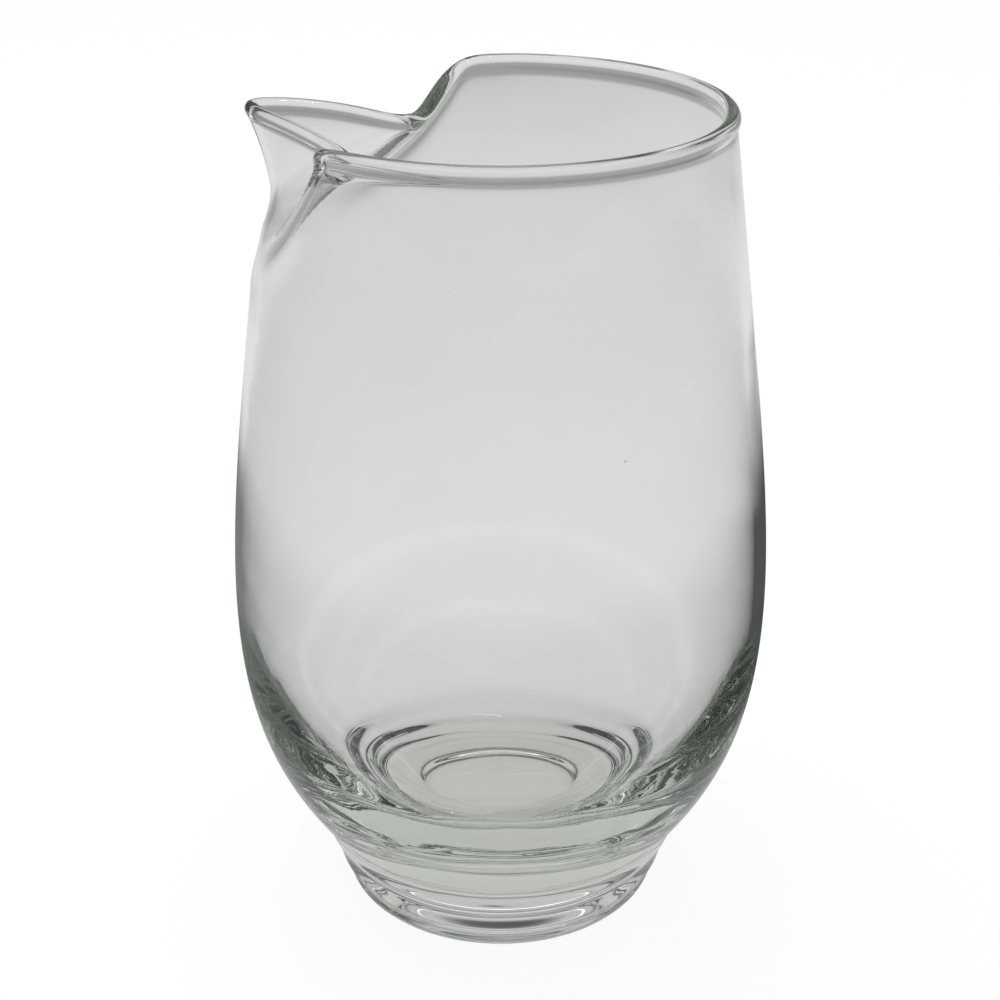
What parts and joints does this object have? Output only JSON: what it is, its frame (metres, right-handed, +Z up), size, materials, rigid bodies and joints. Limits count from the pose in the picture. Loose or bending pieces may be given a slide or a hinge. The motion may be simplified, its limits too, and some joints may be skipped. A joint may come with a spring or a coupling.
{
  "type": "cocktail pitcher",
  "caption": "Clear glass pitcher for mixing and pouring drinks: egg-shaped barrel on a stepped foot, thick base, rounded rim and a pinched pouring spout.",
  "frame": {"origin": "centre of the foot's underside, on the barrel's axis", "axes": "+Z up along the barrel's axis, -X towards the pouring spout"},
  "size_m": [0.1068, 0.1068, 0.165],
  "materials": {
    "glass": "clear fire-polished soda-lime glass with a faint grey-green tint"
  },
  "bodies": {
    "root": {"foot_low_ring": "glass", "foot_mid_ring": "glass", "foot_top_ring": "glass", "thick_base": "glass", "bowl_wall": "glass", "barrel_wall": "glass", "neck_wall": "glass", "pouring_spout": "glass", "rim_bead": "glass", "lip_bead": "glass"}
  },
  "joints": []
}
